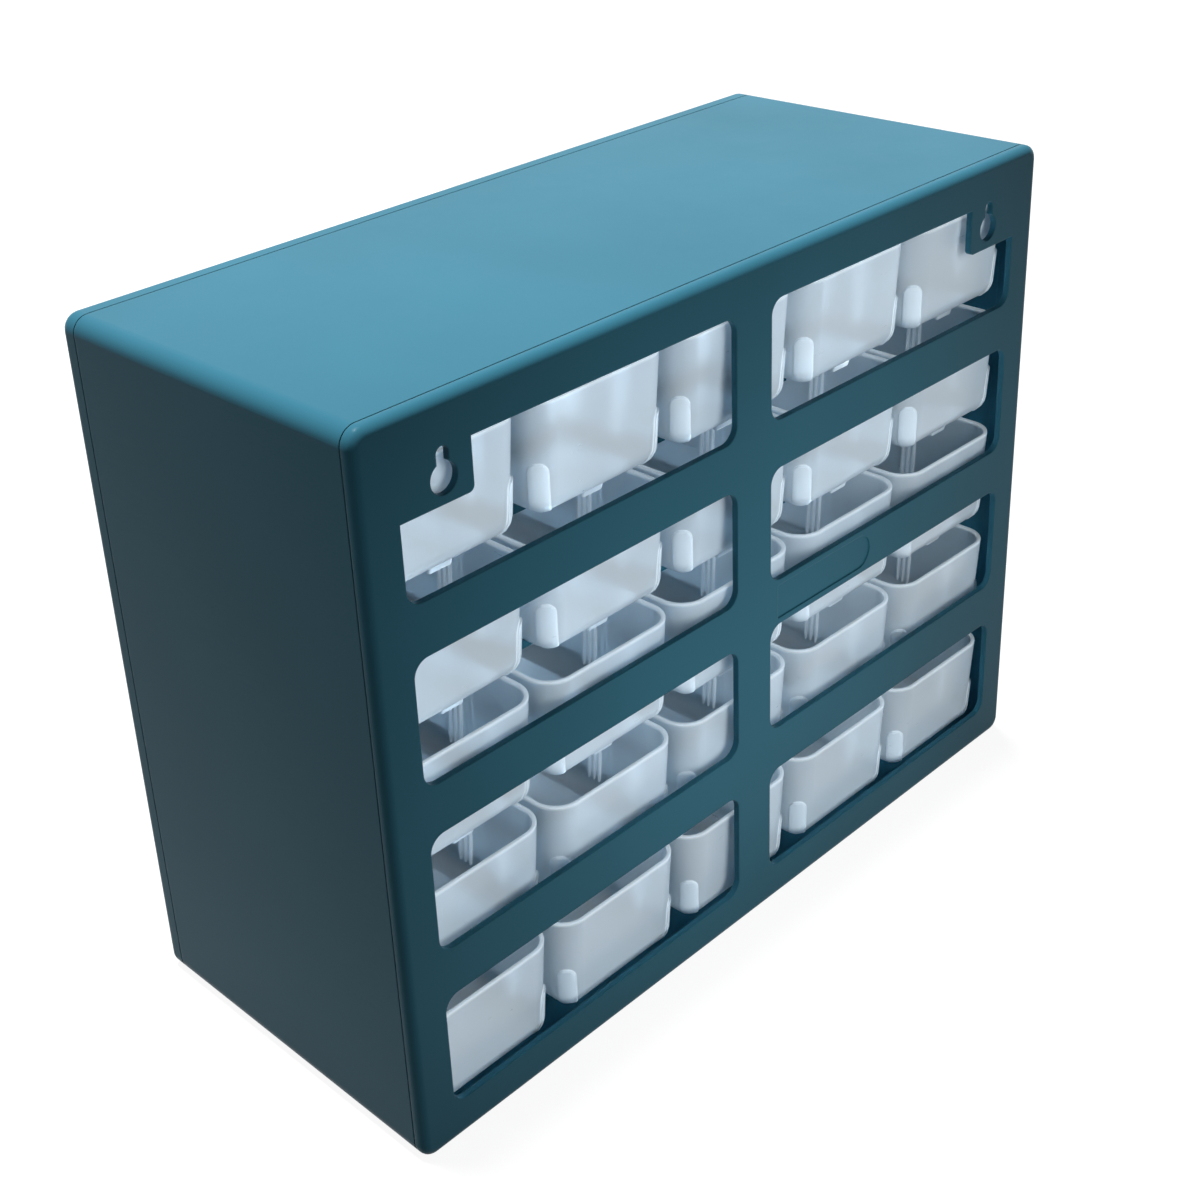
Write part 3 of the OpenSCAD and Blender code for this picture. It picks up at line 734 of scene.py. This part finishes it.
class CABINET_OT_stage(Operator):
    """Sets the pale floor, the soft lamps, the even light and the camera"""

    bl_idname = "cabinet.stage"
    bl_label = "Set Stage"

    def execute(self, context):
        scene, look = context.scene, context.scene.cabinet_stage
        self.floor(scene, look)
        self.world(scene, look)
        self.overhead(scene, "Top light", look.top_strength, CASING_SET)
        self.overhead(scene, "Open light", look.open_strength, DRAWER_SET)
        for name, place, target, size, setting in LAMPS:
            lamp = self.lamp(scene, name, place, target, size, getattr(look, setting))
            lamp.visible_transmission = name not in (REAR_LAMP, DRAWER_LAMP)
            if name == DRAWER_LAMP:
                lamp.light_linking.receiver_collection = bpy.data.collections[DRAWER_SET]
        self.camera(scene, look)
        scene.view_settings.view_transform = "Standard"
        scene.cycles.max_bounces = scene.cycles.transmission_bounces = BOUNCES
        scene.cycles.transparent_max_bounces = CLEAR_BOUNCES
        return {"FINISHED"}

    @staticmethod
    def floor(scene, look):
        """Wide level floor that is white to the camera, less a share where the object shades it.

        The glow leaves out that share, and paper lit by the overhead light puts it back.
        """
        count = 3
        side = np.linspace(-FLOOR_HALF, FLOOR_HALF, count)
        x, y = np.meshgrid(side, side, indexing="ij")
        points = np.stack([x.ravel(), y.ravel(), np.full(x.size, -FLOOR_DROP)], axis=1)
        mesh = bpy.data.meshes.new("Floor")
        mesh.from_pydata(points.tolist(), [], grid_faces(count, count))
        floor = bpy.data.objects.new("Floor", mesh)
        scene.collection.objects.link(floor)
        material = bpy.data.materials.new("Floor white")
        material.use_nodes = True
        tree = material.node_tree
        shader = tree.nodes["Principled BSDF"]
        shader.inputs["Roughness"].default_value = FLOOR_ROUGHNESS
        shader.inputs["Specular IOR Level"].default_value = 0.0
        shader.inputs["Base Color"].default_value = (*look.floor_colour, 1)
        seen = seen_rays(tree)
        glow = add(tree, "Emission", in_Strength=1.0 - look.shadow)
        paper = add(tree, "BsdfDiffuse")
        paper.inputs["Color"].default_value = (look.shadow * PAPER_GAIN,) * 3 + (1,)
        both = add(tree, "AddShader")
        mix = add(tree, "MixShader")
        link = tree.links.new
        link(glow.outputs[0], both.inputs[0])
        link(paper.outputs[0], both.inputs[1])
        link(seen, mix.inputs[0])
        link(shader.outputs[0], mix.inputs[1])
        link(both.outputs[0], mix.inputs[2])
        link(mix.outputs[0], tree.nodes["Material Output"].inputs["Surface"])
        mesh.materials.append(material)
        bpy.data.collections[CASING_SET].objects.link(floor)

    @staticmethod
    def world(scene, look):
        """Even soft light, which is white where the camera, a reflection or clear plastic sees it."""
        world = bpy.data.worlds.new("Studio")
        world.use_nodes = True
        tree = world.node_tree
        back = tree.nodes["Background"]
        back.inputs["Color"].default_value = AMBIENT_TINT
        back.inputs["Strength"].default_value = look.ambience
        white = add(tree, "Background")
        white.inputs["Color"].default_value = (1, 1, 1, 1)
        mix = add(tree, "MixShader")
        tree.links.new(seen_rays(tree), mix.inputs[0])
        tree.links.new(back.outputs[0], mix.inputs[1])
        tree.links.new(white.outputs[0], mix.inputs[2])
        tree.links.new(mix.outputs[0], tree.nodes["World Output"].inputs["Surface"])
        scene.world = world

    @staticmethod
    def overhead(scene, name, strength, receivers):
        """Even light from above on one set, a little from the front, so that the rear sills stay dark."""
        data = bpy.data.lights.new(name, "SUN")
        data.energy, data.angle = strength, SUN_SPREAD
        lamp = bpy.data.objects.new(name, data)
        lamp.light_linking.receiver_collection = bpy.data.collections[receivers]
        lamp.location = (0, 0, 1)
        lamp.rotation_euler = (SUN_TILT, 0, 0)
        scene.collection.objects.link(lamp)

    @staticmethod
    def lamp(scene, name, place, target, size, power):
        """Soft rectangular lamp, width by height, turned towards a target."""
        data = bpy.data.lights.new(name, "AREA")
        data.shape, data.size, data.size_y, data.energy = "RECTANGLE", *size, power
        lamp = bpy.data.objects.new(name, data)
        lamp.location = place
        lamp.rotation_euler = (Vector(target) - Vector(place)).to_track_quat("-Z", "Y").to_euler()
        lamp.visible_camera = lamp.visible_glossy = False
        scene.collection.objects.link(lamp)
        return lamp

    @staticmethod
    def camera(scene, look):
        """Camera behind, above and to the +X side of the cabinet, with the picture's framing."""
        place = Vector((0.41083, 0.40338, 0.43706))
        data = bpy.data.cameras.new("Camera")
        data.sensor_width, data.lens, data.clip_start = 36.0, look.lens, 0.01
        data.shift_x, data.shift_y = 0.06155, -0.11218
        right = Vector((-0.71367953, 0.69838038, -0.05409603))
        down = Vector((0.33714679, 0.27478366, -0.90045876))
        ahead = Vector((-0.61399803, -0.66087728, -0.43156418))
        turn = Matrix((right, -down, -ahead)).transposed().to_4x4()
        camera = bpy.data.objects.new("Camera", data)
        camera.matrix_world = Matrix.Translation(place) @ turn
        scene.collection.objects.link(camera)
        scene.camera = camera


OPERATORS = (CABINET_OT_casing, CABINET_OT_drawers, CABINET_OT_stage)


class CABINET_PT_panel(Panel):
    """Sidebar panel with the operators and their settings"""

    bl_label = "Parts Cabinet"
    bl_space_type = "VIEW_3D"
    bl_region_type = "UI"
    bl_category = "Parts Cabinet"

    def draw(self, context):
        for operator in OPERATORS:
            self.layout.operator(operator.bl_idname)
        scene = context.scene
        for group in (scene.cabinet_drawer, scene.cabinet_casing, scene.cabinet_stage):
            box = self.layout.box()
            for key in group.__annotations__:
                box.prop(group, key)


CLASSES = (DrawerSizes, CasingFinish, StageSettings) + OPERATORS + (CABINET_PT_panel,)


def register():
    for cls in CLASSES:
        bpy.utils.register_class(cls)
    bpy.types.Scene.cabinet_drawer = PointerProperty(type=DrawerSizes)
    bpy.types.Scene.cabinet_casing = PointerProperty(type=CasingFinish)
    bpy.types.Scene.cabinet_stage = PointerProperty(type=StageSettings)


def unregister():
    del bpy.types.Scene.cabinet_drawer, bpy.types.Scene.cabinet_casing, bpy.types.Scene.cabinet_stage
    for cls in reversed(CLASSES):
        bpy.utils.unregister_class(cls)


def main():
    register()
    bpy.ops.cabinet.casing()
    bpy.ops.cabinet.drawers()
    bpy.ops.cabinet.stage()


if __name__ == "__main__":
    main()
